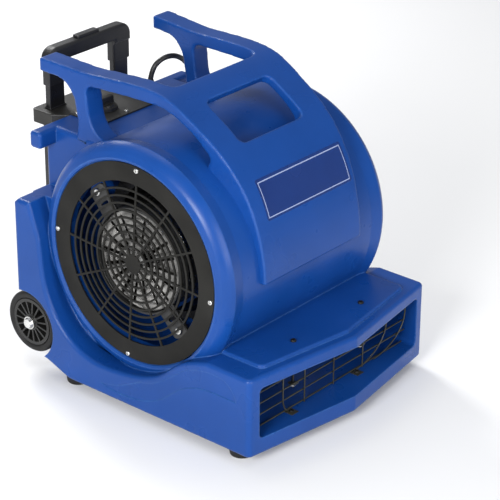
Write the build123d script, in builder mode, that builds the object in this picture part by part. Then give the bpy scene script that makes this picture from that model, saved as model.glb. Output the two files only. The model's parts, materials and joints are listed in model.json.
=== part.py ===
"""Portable air mover: a double-inlet centrifugal blower in a moulded housing, with a carry
hood, a telescoping pull handle, two transport wheels and four rubber feet.

Millimetres. +Z is up, the outlet faces -Y, +X is to the right when looking along +Y. The
origin is on the floor, under the middle of the object without its power cord.
"""

import os
from math import cos, pi, radians, sin, tan

from build123d import *

os.makedirs("parts", exist_ok=True)

# ---------------------------------------------------------------- driving dimensions
body_half_width = 208
body_bottom = 16
body_rear = 217
corner_y = -250          # front corners of the outlet box
ridge_y = -281           # middle of the V-shaped outlet
box_top = 143.5

drum_y, drum_z = -9, 243
drum_r = 180
crease_r = 184
crease_x = 171
edge_x = 187            # soft edge round the middle of each lip
edge_r = 172
lip_x = 190.5
lip_r = 163
seat_x = 185             # face that the intake grilles sit on
throat_r = 131
plate_r = 157.5
plate_t = 2.5
intake_r = 128.5
screw_circle_r = 152
grille_turn = 4.5        # spokes and screws lean forward by this angle

scroll_half_width = 172
duct_half_width = 188
duct_floor, mouth_roof, duct_roof = 43, 125, 134
under_floor = 37         # underside of the duct's floor

upper_half_width = 136
platform_z = 388
hood_top_z = 496

axle_y, axle_z = 199, 81.5
axle_r = 6
wheel_r = 50
wheel_x0, wheel_x1 = 163, 199
arch_r = 56.5

leg_x = 71               # handle legs, left and right of the middle
leg_y = 259
leg_w, leg_d = 32, 11.5
mid_w, mid_d, mid_wall = 35.2, 14.7, 1.2
outer_w, outer_d, outer_wall = 39, 18.5, 1.5
bracket_z0, bracket_z1 = 364, 386

blower_r = 125
blower_half_width = 104
shaft_r = 8
motor_r = 80
bracket_bolt_r = 118
bracket_turns = (-41, 137)   # angles of the motor arms, from straight up towards the outlet

arm_x = -173             # outer faces of the bosses that carry the motor arms
bracket_bolt_shank_r = 3.1

grille_y = -231          # plane of the wire grille in the outlet
wire_r = 1.2
grille_tab_spots = [(-98, -238), (58, -238)]
tab_screw_r = 1.8
grille_bolt_spots = [(-80, -225.5), (80, -225.5)]
grille_bolt_r = 2

panel_x0, panel_x1, panel_y0, panel_y1 = -86, 90, 146, 212
panel_t = 2.5
panel_screw_spots = [(-23, 154), (-78, 205), (82, 205), (82, 154)]
panel_screw_r = 1.7
knob_spot = (-36, 188)
gland_spot = (65, 185)

bracket_half_width = 101
lower_bracket_z0, lower_bracket_z1 = 92, 116
bracket_rear_y = 281
bracket_screw_r = 2
bracket_screw_spots = [(-40, 375), (40, 375), (-40, 104), (40, 104)]

foot_screw_r = 2.6
cord_d = 8.5
foot_spots = [(-178, -212), (178, -212), (-178, 119), (178, 119)]

DRUM_AXIS = Axis((0, drum_y, drum_z), (1, 0, 0))
AXLE_AXIS = Axis((0, axle_y, axle_z), (1, 0, 0))
drum_section = Plane(origin=(0, drum_y, drum_z), x_dir=(1, 0, 0), z_dir=(0, -1, 0))
axle_section = Plane(origin=(0, axle_y, axle_z), x_dir=(1, 0, 0), z_dir=(0, -1, 0))


def drum_plane(x):
    """Plane across the drum's axis at x, local axes Y and Z, normal +X."""
    return Plane(origin=(x, drum_y, drum_z), x_dir=(0, 1, 0), z_dir=(1, 0, 0))


def axle_plane(x):
    """Plane across the wheels' axis at x, local axes Y and Z, normal +X."""
    return Plane(origin=(x, axle_y, axle_z), x_dir=(0, 1, 0), z_dir=(1, 0, 0))


def on_drum(radius, turn):
    """Local (Y, Z) point on a drum plane, turn degrees from straight up towards the outlet."""
    return (-radius * sin(radians(turn)), radius * cos(radians(turn)))


def save(piece, name):
    """Labels a finished piece and writes its STEP file."""
    piece.part.label = name
    export_step(piece.part, f"parts/{name}.step")


def pan_screw(head_r, head_h, shank_r, shank_len):
    """Pan-head screw: underside of the head at the origin, shank along -Z, cross slot on top."""
    round_r = head_h * 0.6
    with BuildPart() as screw:
        with BuildSketch(Plane.XZ):
            with BuildLine():
                Polyline((head_r - round_r, head_h), (0, head_h), (0, -shank_len),
                         (shank_r, -shank_len), (shank_r, 0), (head_r, 0),
                         (head_r, head_h - round_r))
                CenterArc((head_r - round_r, head_h - round_r), round_r, 0, 90)
            make_face()
        revolve(axis=Axis.Z)
        with BuildSketch(Plane.XY.offset(head_h)):
            Rectangle(head_r * 1.1, head_r * 0.26)
            Rectangle(head_r * 0.26, head_r * 1.1)
        extrude(amount=-head_h * 0.55, mode=Mode.SUBTRACT)
    return screw.part


def facing(x, y, z, direction):
    """Location whose +Z axis points along direction, for a screw set into a face."""
    return Plane(origin=(x, y, z), z_dir=direction).location


# ---------------------------------------------------------------- housing, helper solids
# Side walls with the S-shaped edge round the drum recess, rear block and outlet box.
with BuildPart() as base_block:
    with BuildSketch(Plane.YZ):
        with BuildLine():
            Polyline((ridge_y - 4, box_top), (ridge_y - 4, body_bottom), (112, body_bottom),
                     (158, 33), (body_rear, 44), (body_rear, 283), (209, 290), (185, 290),
                     (166, 232))
            Spline((166, 232), (150, 139), (85, 73), (2, 67), (-79, 93), (-126, 129),
                   (-165, 143), (-200, box_top), tangents=((-0.12, -1), (-1, 0)))
            Line((-200, box_top), (ridge_y - 4, box_top))
        make_face()
    extrude(amount=body_half_width, both=True)
    with BuildSketch(Plane.XY):
        Polygon((-body_half_width, corner_y), (0, ridge_y), (body_half_width, corner_y),
                (body_half_width, 300), (-body_half_width, 300), align=None)
    extrude(amount=400, mode=Mode.INTERSECT)
    fillet(base_block.edges().filter_by(Axis.Z).group_by(Axis.Y)[1], 9)
    side_faces = base_block.faces().filter_by(Axis.X)
    fillet(side_faces.edges().filter_by(lambda e: abs(abs(e.center().X) - body_half_width) < 1), 6)

# Drum with a rounded lip round each intake.
with BuildPart() as drum:
    with BuildSketch(drum_section):
        with BuildLine():
            Polyline((0, 0), (0, drum_r), (150, drum_r), (crease_x, crease_r))
            ThreePointArc((crease_x, crease_r), (180, 179.4), (edge_x, edge_r))
            Polyline((edge_x, edge_r), (lip_x, lip_r), (lip_x - 2, plate_r + 2),
                     (seat_x, plate_r + 1), (seat_x, 0), (0, 0))
        make_face()
        mirror(about=Plane.YZ)
    revolve(axis=DRUM_AXIS)

# Upper rear body that carries the control panel.
with BuildPart() as upper_body:
    with BuildSketch(Plane.YZ):
        Polygon((60, 200), (body_rear, 200), (body_rear, platform_z), (60, platform_z), align=None)
    extrude(amount=upper_half_width, both=True)
    fillet(upper_body.edges().filter_by(Axis.Z).group_by(Axis.Y)[-1], 8)
    fillet(upper_body.faces().sort_by(Axis.Z)[-1].edges(), 8)

# Stub bars at the top rear corners, for wrapping the cord.
stub_y0, stub_y1, stub_x = 193, 216, 170
stub_z0 = 361
with BuildPart() as stubs:
    with BuildSketch(Plane.YZ):
        with Locations(((stub_y0 + stub_y1) / 2, (stub_z0 + platform_z) / 2)):
            RectangleRounded(stub_y1 - stub_y0, platform_z - stub_z0, 6)
    extrude(amount=stub_x, both=True)
    fillet(stubs.faces().filter_by(Axis.X).edges(), 5)

# Raised tray on the outlet box.
tray_h = 5
with BuildPart() as tray:
    with BuildSketch(Plane.XY.offset(box_top - 10)):
        Polygon((-169, corner_y + 10), (0, ridge_y + 16), (169, corner_y + 10), (169, -100),
                (-169, -100), align=None)
    extrude(amount=10 + tray_h)
    fillet(tray.edges().filter_by(Axis.Z).group_by(Axis.Y)[1], 10)
    fillet(tray.faces().sort_by(Axis.Z)[-1].edges(), 3)

# Air path: the scroll round the blower and the duct to the outlet.
scroll_low = drum_z - duct_floor
scroll_rear, scroll_top, scroll_front = 178, 174, 173
with BuildPart() as air_path:
    with BuildSketch(Plane.YZ):
        with BuildLine():
            EllipticalCenterArc((drum_y, drum_z), scroll_rear, scroll_low, 270, arc_size=90)
            EllipticalCenterArc((drum_y, drum_z), scroll_rear, scroll_top, 0, arc_size=90)
            EllipticalCenterArc((drum_y, drum_z), scroll_front, scroll_top, 90, arc_size=90)
            front_arc = CenterArc((drum_y, drum_z), scroll_front, 180, 30)
            Polyline(front_arc @ 1, (-140, duct_roof), (-90, duct_roof), (-60, duct_floor),
                     (drum_y, duct_floor))
        make_face()
    extrude(amount=scroll_half_width, both=True)
    with BuildSketch(Plane.XY.offset(duct_floor)):
        Polygon((-duct_half_width, -300), (duct_half_width, -300), (duct_half_width, -130),
                (scroll_half_width, -20), (-scroll_half_width, -20), (-duct_half_width, -130),
                align=None)
    extrude(amount=mouth_roof - duct_floor)
    with BuildSketch(Plane.XY.offset(duct_floor)):
        Polygon((-duct_half_width, corner_y + 22), (0, ridge_y + 24),
                (duct_half_width, corner_y + 22), (duct_half_width, -130),
                (scroll_half_width, -20), (-scroll_half_width, -20), (-duct_half_width, -130),
                align=None)
    extrude(amount=duct_roof - duct_floor)
    mouth_edges = air_path.edges().filter_by(Axis.Y).filter_by(lambda e: e.center().Y < -150)
    fillet(mouth_edges, 8)

# Hollows of the double-walled moulding, open underneath.
with BuildPart() as hollows:
    with BuildSketch(Plane.XY.offset(body_bottom - 1)):
        Polygon((-200, -238), (0, -266), (200, -238), (200, 96), (-200, 96), align=None)
    extrude(amount=under_floor - body_bottom + 1)
    with BuildSketch(Plane.XY.offset(body_bottom - 1)):
        with Locations((-190, 38), (190, 38)):
            Rectangle(20, 116)
    extrude(amount=under_floor + 16 - body_bottom + 1)
    with BuildSketch(Plane.YZ):
        with BuildLine():
            Polyline((146, 96), (146, 30), (211, 30), (211, 380), (122, 380))
            ThreePointArc((122, 380), (drum_y + 186, drum_z), (146, 96))
        make_face()
    extrude(amount=128, both=True)
    with BuildSketch(Plane.YZ):
        Polygon((192, 146), (211, 146), (211, 276), (196, 276), align=None)
    extrude(amount=200, both=True)

# Steps moulded into each side wall, front and below.
with BuildPart() as side_steps:
    with BuildSketch(Plane.YZ):
        with BuildLine():
            Spline((-39, 66), (-97, 94), (-138, 122), (-173, 130), (-197, 129.5),
                   tangents=((-0.95, 0.15), (-1, -0.1)))
            ThreePointArc((-197, 129.5), (-214, 120), (-225, 100))
            Spline((-225, 100), (-164, 99), (-124, 86), (-83, 54), (-27, 33), (20, 31), (44, 36),
                   tangents=((1, 0), (0.95, 0.3)))
            Spline((44, 36), (0, 46), (-39, 66), tangents=((-1, 0.1), (-0.9, 0.45)))
        make_face()
    extrude(amount=body_half_width + 5, both=True)
    with BuildSketch(Plane.YZ):
        Rectangle(900, 900)
    extrude(amount=body_half_width - 1.2, both=True, mode=Mode.SUBTRACT)

# ---------------------------------------------------------------- housing
with BuildPart() as housing:
    add(base_block.part)
    with BuildSketch(Plane.YZ):
        Polygon((-120, 60), (100, 24), (212, 60), (212, 290), (172, 290), (120, 200), align=None)
    extrude(amount=crease_x, both=True)
    add(drum.part)
    add(upper_body.part)
    add(stubs.part)
    add(tray.part)
    add(air_path.part, mode=Mode.SUBTRACT)
    add(hollows.part, mode=Mode.SUBTRACT)
    add(side_steps.part, mode=Mode.SUBTRACT)
    # Throats of both intakes, and the wheel arches.
    with BuildSketch(drum_plane(0)):
        Circle(throat_r)
    extrude(amount=lip_x + 5, both=True, mode=Mode.SUBTRACT)
    for side in (-1, 1):
        with BuildSketch(axle_plane(side * (wheel_x0 - 6))):
            Circle(arch_r)
        extrude(amount=side * 60, mode=Mode.SUBTRACT)
    # Bosses: four over the feet, two for the motor bracket, two round the axle.
    with BuildSketch(Plane.XY.offset(body_bottom)):
        with Locations(*foot_spots):
            Circle(14)
    extrude(amount=under_floor - body_bottom)
    with BuildSketch(drum_plane(arm_x)):
        for turn in bracket_turns:
            with Locations(on_drum(bracket_bolt_r + 14, turn)):
                SlotOverall(54, 26, rotation=90 + turn)
    extrude(amount=20)
    with BuildSketch(axle_plane(0)):
        Circle(axle_r + 8)
    extrude(amount=wheel_x0 - 8, both=True)
    # Holes for the axle and the screws.
    with BuildSketch(axle_plane(0)):
        Circle(axle_r)
    extrude(amount=220, both=True, mode=Mode.SUBTRACT)
    with BuildSketch(drum_plane(0)):
        with Locations(*[on_drum(screw_circle_r, grille_turn + 90 * k) for k in range(4)]):
            Circle(2)
    extrude(amount=220, both=True, mode=Mode.SUBTRACT)
    with BuildSketch(drum_plane(arm_x)):
        with Locations(*[on_drum(bracket_bolt_r, t) for t in bracket_turns]):
            Circle(bracket_bolt_shank_r)
    extrude(amount=25, mode=Mode.SUBTRACT)
    with BuildSketch(Plane.XY.offset(body_bottom - 1)):
        with Locations(*foot_spots):
            Circle(foot_screw_r)
    extrude(amount=under_floor - body_bottom, mode=Mode.SUBTRACT)
    with BuildSketch(Plane.XY.offset(duct_floor - 8)):
        with Locations(*grille_tab_spots):
            Circle(tab_screw_r)
    extrude(amount=10, mode=Mode.SUBTRACT)
    with BuildSketch(Plane.XY.offset(mouth_roof)):
        with Locations(*grille_bolt_spots):
            Circle(grille_bolt_r)
    extrude(amount=40, mode=Mode.SUBTRACT)
    # Openings under the control panel for the switch and the cord's gland.
    with BuildSketch(Plane.XY.offset(platform_z - 12)):
        with Locations(knob_spot):
            RectangleRounded(46, 46, 4)
        with Locations(gland_spot):
            Circle(14)
    extrude(amount=20, mode=Mode.SUBTRACT)
    # Pilot holes for the screws of the panel and of the two handle brackets.
    with BuildSketch(Plane.XY.offset(platform_z - 8)):
        with Locations(*panel_screw_spots):
            Circle(panel_screw_r)
    extrude(amount=20, mode=Mode.SUBTRACT)
    with BuildSketch(Plane.XZ.offset(-body_rear)):
        with Locations(*bracket_screw_spots):
            Circle(bracket_screw_r)
    extrude(amount=6, mode=Mode.SUBTRACT)
save(housing, "housing")

# ---------------------------------------------------------------- carry hood with two horns
bar_rear_y = -7
with BuildPart() as carry_hood:
    with BuildSketch(Plane.YZ):
        with BuildLine():
            Spline((-198, 240), (-189, 308), (-164, 372), (-117, 428), (-68, 462), (-20, 487),
                   (30, 493.5), (110, 491), (217, hood_top_z), tangents=((0, 1), (1, 0.06)))
            Polyline((217, hood_top_z), (217, 475), (192, 474))
            ThreePointArc((192, 474), (165, 465), (150, 436))
            Polyline((150, 436), (145, 410), (149, 380), (96, 370), (84, 388))
            ThreePointArc((84, 388), (113, 402), (125, 430))
            Polyline((125, 430), (128, 455))
            ThreePointArc((128, 455), (126, 466), (116, 471))
            Polyline((116, 471), (47, 472.5), (-4, 471))
            Spline((-4, 471), (-36, 463), (-67, 446), (-97, 421), tangents=((-1, 0), (-0.68, -0.73)))
            Polyline((-97, 421), (-102, 412), (-98, 400), (-80, 380), (-160, 260), (-165, 240),
                     (-198, 240))
        make_face()
    extrude(amount=160, both=True)
    with BuildSketch(Plane.XY.offset(200)):
        with BuildLine():
            Spline((111, -205), (121, -116), (127, -9), (134, 100), (143, 220))
            Line((143, 220), (-143, 220))
            Spline((-143, 220), (-134, 100), (-127, -9), (-121, -116), (-111, -205))
            Line((-111, -205), (111, -205))
        make_face()
    extrude(amount=320, mode=Mode.INTERSECT)
    # The space between the horns.
    with BuildSketch(Plane.XY.offset(200)) as between_horns:
        Polygon((-94, bar_rear_y), (94, bar_rear_y), (108, 240), (-108, 240), align=None)
        fillet(between_horns.vertices().group_by(Axis.Y)[0], 16)
    extrude(amount=320, mode=Mode.SUBTRACT)
    # The window under the carry bar.
    window_plane = Plane(origin=(0, -84, 451), x_dir=(1, 0, 0), z_dir=(0, -0.56, 0.83))
    with BuildSketch(window_plane):
        RectangleRounded(142, 84, 12)
    extrude(amount=60, both=True, mode=Mode.SUBTRACT)
    add(drum.part, mode=Mode.SUBTRACT)
    add(upper_body.part, mode=Mode.SUBTRACT)
save(carry_hood, "carry_hood")

# Blank name label, a thin skin on the front of the hood.
raised_hood = carry_hood.part.moved(Location((0, -0.37, 0.17)))
with BuildPart() as name_label:
    with BuildSketch(Plane.XZ.offset(120)):
        with Locations((8.5, 357)):
            RectangleRounded(193, 55, 3)
    extrude(amount=150)
    add(raised_hood, mode=Mode.INTERSECT)
    add(carry_hood.part, mode=Mode.SUBTRACT)
save(name_label, "name_label")

# ---------------------------------------------------------------- intake grilles
spoke_count, ring_count = 12, 10
bar_w = 3
grille_hub_r = 15
ring_pitch = (intake_r - grille_hub_r) / ring_count
screw_ring = [on_drum(screw_circle_r, grille_turn + 90 * k) for k in range(4)]
for side, name in ((-1, "intake_grille_left"), (1, "intake_grille_right")):
    with BuildPart() as intake_grille:
        with BuildSketch(drum_plane(side * seat_x)):
            Circle(plate_r)
            Circle(intake_r, mode=Mode.SUBTRACT)
            for k in range(ring_count - 1, 0, -1):
                Circle(grille_hub_r + k * ring_pitch + bar_w / 2)
                Circle(grille_hub_r + k * ring_pitch - bar_w / 2, mode=Mode.SUBTRACT)
            Circle(grille_hub_r)
            for k in range(spoke_count // 2):
                Rectangle(bar_w, 2 * intake_r + 4, rotation=grille_turn + 30 * k)
            with Locations(*screw_ring):
                Circle(2, mode=Mode.SUBTRACT)
        extrude(amount=side * plate_t)
    save(intake_grille, name)

grille_screw = pan_screw(4, 2.6, 2, 14)
for side, name in ((-1, "grille_screws_left"), (1, "grille_screws_right")):
    with BuildPart() as grille_screws:
        with Locations(*[facing(side * (seat_x + plate_t), drum_y + y, drum_z + z, (side, 0, 0))
                         for y, z in screw_ring]):
            add(grille_screw)
    save(grille_screws, name)

# ---------------------------------------------------------------- blower
blade_count = 36
blade_inner_r = 105
end_ring_t = 3
hub_r = 22
with BuildPart() as blower_blades:
    with BuildSketch(drum_plane(0)):
        with PolarLocations((blade_inner_r + blower_r) / 2, blade_count):
            Rectangle(22, 1.4, rotation=28)
    extrude(amount=blower_half_width - end_ring_t, both=True)
save(blower_blades, "blower_blades")

with BuildPart() as blower_end_rings:
    for side in (-1, 1):
        with BuildSketch(drum_plane(side * (blower_half_width - end_ring_t))):
            Circle(blower_r + 1)
            Circle(blade_inner_r - 1, mode=Mode.SUBTRACT)
        extrude(amount=side * end_ring_t)
save(blower_end_rings, "blower_end_rings")

with BuildPart() as blower_disc:
    with BuildSketch(drum_plane(0)):
        Circle(blower_r + 1)
        Circle(hub_r, mode=Mode.SUBTRACT)
        with PolarLocations((blade_inner_r + blower_r) / 2, blade_count):
            Rectangle(22, 1.4, rotation=28, mode=Mode.SUBTRACT)
    extrude(amount=1.5, both=True)
save(blower_disc, "blower_disc")

set_screw_r = 3
set_screw_x = -7.5
with BuildPart() as blower_hub:
    with BuildSketch(drum_plane(-13)):
        Circle(hub_r)
    extrude(amount=26)
    with BuildSketch(drum_plane(1.5)):
        Circle(hub_r + 10)
    extrude(amount=3)
    with BuildSketch(drum_plane(-14)):
        Circle(shaft_r)
    extrude(amount=30, mode=Mode.SUBTRACT)
    with BuildSketch(Plane(origin=(set_screw_x, drum_y, drum_z), z_dir=(0, 0, 1))):
        Circle(set_screw_r)
    extrude(amount=40, mode=Mode.SUBTRACT)
save(blower_hub, "blower_hub")

with BuildPart() as hub_set_screw:
    with BuildSketch(Plane(origin=(set_screw_x, drum_y, drum_z + shaft_r), z_dir=(0, 0, 1))):
        Circle(set_screw_r)
    extrude(amount=12)
    with BuildSketch(Plane(origin=(set_screw_x, drum_y, drum_z + shaft_r + 12), z_dir=(0, 0, 1))):
        RegularPolygon(1.5, 6)
    extrude(amount=-4, mode=Mode.SUBTRACT)
save(hub_set_screw, "hub_set_screw")

# ---------------------------------------------------------------- motor
bell_outer_x0, bell_outer_x1 = -172, -150
bell_inner_x0, bell_inner_x1 = -60, -38
case_t = 2.5
stator_x0, stator_x1 = -136, -78
rotor_r, stator_inner_r = 40, 41
bearing_r = 17
bearing_bore_r = shaft_r + 0.05
bearing_w = 12
vent_count = 18


def end_bell(x_face, inward):
    """Cast motor end with radial vents; inward is the direction of the motor's middle."""
    with BuildPart() as bell:
        with BuildSketch(drum_plane(x_face)):
            Circle(motor_r)
        extrude(amount=inward * 4)
        with BuildSketch(drum_plane(x_face)):
            Circle(motor_r)
            Circle(motor_r - 4, mode=Mode.SUBTRACT)
        extrude(amount=inward * 22)
        with BuildSketch(drum_plane(x_face)):
            Circle(bearing_r + 5)
        extrude(amount=inward * (4 + bearing_w))
        with BuildSketch(drum_plane(x_face + inward * 4)):
            Circle(bearing_r)
        extrude(amount=inward * bearing_w, mode=Mode.SUBTRACT)
        with BuildSketch(drum_plane(x_face)):
            with PolarLocations(51, vent_count):
                SlotOverall(44, 5)
        extrude(amount=inward * 4, mode=Mode.SUBTRACT)
        with BuildSketch(drum_plane(x_face)):
            Circle(shaft_r + 2)
        extrude(amount=inward * 4, mode=Mode.SUBTRACT)
        fillet(bell.edges().filter_by(GeomType.CIRCLE).group_by(SortBy.RADIUS)[-1]
               .sort_by(Axis.X)[0 if inward > 0 else -1], 3)
    return bell


outer_bell = end_bell(bell_outer_x0, 1)
save(outer_bell, "motor_end_bell_outer")
inner_bell = end_bell(bell_inner_x1, -1)
save(inner_bell, "motor_end_bell_inner")

with BuildPart() as motor_case:
    with BuildSketch(drum_plane(bell_outer_x1)):
        Circle(motor_r)
        Circle(motor_r - case_t, mode=Mode.SUBTRACT)
    extrude(amount=bell_inner_x0 - bell_outer_x1)
save(motor_case, "motor_case")

with BuildPart() as motor_stator:
    with BuildSketch(drum_plane(stator_x0)):
        Circle(motor_r - case_t)
        Circle(stator_inner_r, mode=Mode.SUBTRACT)
    extrude(amount=stator_x1 - stator_x0)
    for x, depth in ((stator_x0, -8), (stator_x1, 8)):
        with BuildSketch(drum_plane(x)):
            Circle(66)
            Circle(stator_inner_r + 5, mode=Mode.SUBTRACT)
        extrude(amount=depth)
save(motor_stator, "motor_stator")

with BuildPart() as motor_rotor:
    with BuildSketch(drum_plane(stator_x0)):
        Circle(rotor_r)
        Circle(shaft_r, mode=Mode.SUBTRACT)
    extrude(amount=stator_x1 - stator_x0)
save(motor_rotor, "motor_rotor")

with BuildPart() as motor_shaft:
    with BuildSketch(drum_plane(bell_outer_x0 + 4)):
        Circle(shaft_r)
    extrude(amount=15 - bell_outer_x0 - 4)
    chamfer(motor_shaft.edges().filter_by(GeomType.CIRCLE), 1)
save(motor_shaft, "motor_shaft")

with BuildPart() as motor_bearings:
    for x in (bell_outer_x0 + 4, bell_inner_x1 - 4 - bearing_w):
        with BuildSketch(drum_plane(x)):
            Circle(bearing_r)
            Circle(bearing_bore_r, mode=Mode.SUBTRACT)
        extrude(amount=bearing_w)
save(motor_bearings, "motor_bearings")

# Steel bracket: a band round the motor and two slotted arms.
arm_w, arm_t = 34, 3
with BuildPart() as motor_bracket:
    with BuildSketch(drum_plane(arm_x - arm_t)):
        Circle(motor_r + 3)
        Circle(motor_r, mode=Mode.SUBTRACT)
    extrude(amount=16 + arm_t)
    with BuildSketch(drum_plane(arm_x - arm_t)):
        for turn in bracket_turns:
            with Locations(on_drum(96, turn)):
                RectangleRounded(62, arm_w, 8, rotation=90 + turn)
        Circle(motor_r + 0.5, mode=Mode.SUBTRACT)
        with Locations(*[on_drum(bracket_bolt_r, t) for t in bracket_turns]):
            Circle(bracket_bolt_shank_r, mode=Mode.SUBTRACT)
        for turn in bracket_turns:
            with Locations(on_drum(98, turn)):
                SlotOverall(18, 6, rotation=turn, mode=Mode.SUBTRACT)
    extrude(amount=arm_t)
save(motor_bracket, "motor_bracket")

bracket_bolt = pan_screw(6, 3.6, bracket_bolt_shank_r, 22)
with BuildPart() as bracket_bolts:
    with Locations(*[facing(arm_x - arm_t, drum_y + on_drum(bracket_bolt_r, t)[0],
                            drum_z + on_drum(bracket_bolt_r, t)[1], (-1, 0, 0))
                     for t in bracket_turns]):
        add(bracket_bolt)
save(bracket_bolts, "bracket_bolts")

# Run capacitor with its clamp, inside the upper rear body.
capacitor_y, capacitor_z, capacitor_r = 186, 325, 17
capacitor_x0, capacitor_x1 = 10, 80
capacitor_plane = Plane(origin=(capacitor_x0, capacitor_y, capacitor_z), x_dir=(0, 1, 0),
                        z_dir=(1, 0, 0))
with BuildPart() as run_capacitor:
    with BuildSketch(capacitor_plane):
        Circle(capacitor_r)
    extrude(amount=capacitor_x1 - capacitor_x0)
    fillet(run_capacitor.edges(), 2)
save(run_capacitor, "run_capacitor")

with BuildPart() as capacitor_clamp:
    with BuildSketch(capacitor_plane.offset(26)):
        Circle(capacitor_r + 1.5)
        with Locations((211 - capacitor_y - 0.75, 0)):
            Rectangle(1.5, 52)
        with Locations((capacitor_r + 4, 0)):
            Rectangle(8, 8)
        Circle(capacitor_r, mode=Mode.SUBTRACT)
    extrude(amount=16)
save(capacitor_clamp, "capacitor_clamp")

# ---------------------------------------------------------------- outlet grille
grille_half_width = 186
wire_rows = (45.2, 64, 82, 100, 118)
post_y = grille_y - 2 * wire_r
post_top = 122
upright_x = (-62, 7, 78)
bent_wires = [(-112, -98, 24), (136, 62, 52), (184, 106, 52)]   # top x, foot x, bend height
tab_t = wire_rows[0] - wire_r - duct_floor
lug_z = wire_rows[2] - wire_r - 2

with BuildPart() as grille_rows:
    for z in wire_rows:
        reach = grille_half_width - (6 if z == wire_rows[0] else 0)
        with BuildSketch(Plane(origin=(0, grille_y, z), z_dir=(1, 0, 0))):
            Circle(wire_r)
        extrude(amount=reach, both=True)
save(grille_rows, "grille_rows")

with BuildPart() as grille_uprights:
    for x in upright_x:
        with BuildSketch(Plane.XY.offset(duct_floor + 0.5)):
            with Locations((x, post_y)):
                Circle(wire_r)
        extrude(amount=post_top - duct_floor - 0.5)
    for top_x, foot_x, bend_height in bent_wires:
        foot_z = wire_rows[0]
        bend_z = foot_z + bend_height
        with BuildLine() as bent:
            Line((top_x, post_y, post_top), (top_x, post_y, bend_z))
            Bezier((top_x, post_y, bend_z), (top_x, post_y, bend_z - 0.55 * bend_height),
                   (foot_x + 0.55 * (top_x - foot_x), post_y, foot_z), (foot_x, post_y, foot_z))
        with BuildSketch(Plane(origin=bent.line @ 0, z_dir=bent.line % 0)):
            Circle(wire_r)
        sweep(path=bent.line)
save(grille_uprights, "grille_uprights")

# Flat tabs under the lowest wire, and lugs for the long bolts under the middle one.
with BuildPart() as grille_tabs:
    for x, y in grille_tab_spots:
        with BuildSketch(Plane.XY.offset(duct_floor)):
            with Locations((x, (y + grille_y - 2) / 2 - 2)):
                Rectangle(15, 17)
            with Locations((x, y)):
                Circle(tab_screw_r, mode=Mode.SUBTRACT)
        extrude(amount=tab_t)
    for x, y in grille_bolt_spots:
        with BuildSketch(Plane.XY.offset(lug_z)):
            with Locations((x, (y + 5 + post_y + wire_r) / 2)):
                Rectangle(11, y + 5 - post_y - wire_r)
            with Locations((x, y)):
                Circle(grille_bolt_r + 0.1, mode=Mode.SUBTRACT)
        extrude(amount=2)
save(grille_tabs, "grille_tabs")

with BuildPart() as outlet_grille_screws:
    with Locations(*[(x, y, duct_floor + tab_t) for x, y in grille_tab_spots]):
        add(pan_screw(3.6, 2.4, tab_screw_r, 7.5))
save(outlet_grille_screws, "outlet_grille_screws")

# Long bolts from the tray down to the lugs of the wire grille, with their nuts.
grille_bolt_len = 76
with BuildPart() as tray_bolts:
    with Locations(*[(x, y, box_top + tray_h) for x, y in grille_bolt_spots]):
        add(pan_screw(4.5, 3, grille_bolt_r, grille_bolt_len))
save(tray_bolts, "tray_bolts")

with BuildPart() as grille_nuts:
    with BuildSketch(Plane.XY.offset(lug_z)):
        with Locations(*grille_bolt_spots):
            RegularPolygon(4.4, 6)
            Circle(grille_bolt_r, mode=Mode.SUBTRACT)
    extrude(amount=-3.4)
save(grille_nuts, "grille_nuts")

# ---------------------------------------------------------------- control panel and switch
knob_stem_r = 3
panel_top = platform_z + panel_t
with BuildPart() as control_panel:
    with BuildSketch(Plane.XY.offset(platform_z)):
        with Locations(((panel_x0 + panel_x1) / 2, (panel_y0 + panel_y1) / 2)):
            RectangleRounded(panel_x1 - panel_x0, panel_y1 - panel_y0, 3)
        with Locations(*panel_screw_spots):
            Circle(panel_screw_r, mode=Mode.SUBTRACT)
        with Locations(knob_spot):
            Circle(6, mode=Mode.SUBTRACT)
        with Locations(gland_spot):
            Circle(8, mode=Mode.SUBTRACT)
    extrude(amount=panel_t)
save(control_panel, "control_panel")

with BuildPart() as panel_screws:
    with Locations(*[(x, y, panel_top) for x, y in panel_screw_spots]):
        add(pan_screw(3.2, 2, panel_screw_r, 10))
save(panel_screws, "panel_screws")

with BuildPart() as switch_body:
    with BuildSketch(Plane.XY.offset(platform_z)):
        with Locations(knob_spot):
            RectangleRounded(42, 42, 3)
    extrude(amount=-26)
    with BuildSketch(Plane.XY.offset(platform_z - 26)):
        with Locations(knob_spot):
            with GridLocations(14, 14, 2, 2):
                Rectangle(6.3, 0.8)
    extrude(amount=-8)
    with BuildSketch(Plane.XY.offset(platform_z)):
        with Locations(knob_spot):
            Circle(knob_stem_r + 0.05)
    extrude(amount=-14, mode=Mode.SUBTRACT)
save(switch_body, "switch_body")

with BuildPart() as switch_stem:
    with BuildSketch(Plane.XY.offset(platform_z - 13)):
        with Locations(knob_spot):
            Circle(knob_stem_r)
    extrude(amount=26)
save(switch_stem, "switch_stem")

knob_z = panel_top + 0.5
knob_skirt_r, knob_skirt_h, knob_h = 21, 4.5, 18
with BuildPart() as speed_knob:
    with BuildSketch(Plane.XY.offset(knob_z)):
        with Locations(knob_spot):
            Circle(knob_skirt_r)
    extrude(amount=knob_skirt_h, taper=12)
    with BuildSketch(Plane.XY.offset(knob_z + knob_skirt_h)):
        with Locations(knob_spot):
            Circle(16)
    extrude(amount=2.5, taper=20)
    with BuildSketch(Plane.XY.offset(knob_z + knob_skirt_h)):
        with Locations(knob_spot):
            RectangleRounded(36, 12, 4)
    extrude(amount=knob_h - knob_skirt_h, taper=5)
    fillet(speed_knob.faces().sort_by(Axis.Z)[-1].edges(), 1.5)
    with BuildSketch(Plane.XY.offset(knob_z)):
        with Locations(knob_spot):
            Circle(knob_stem_r)
    extrude(amount=platform_z + 13 - knob_z, mode=Mode.SUBTRACT)
save(speed_knob, "speed_knob")

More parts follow.
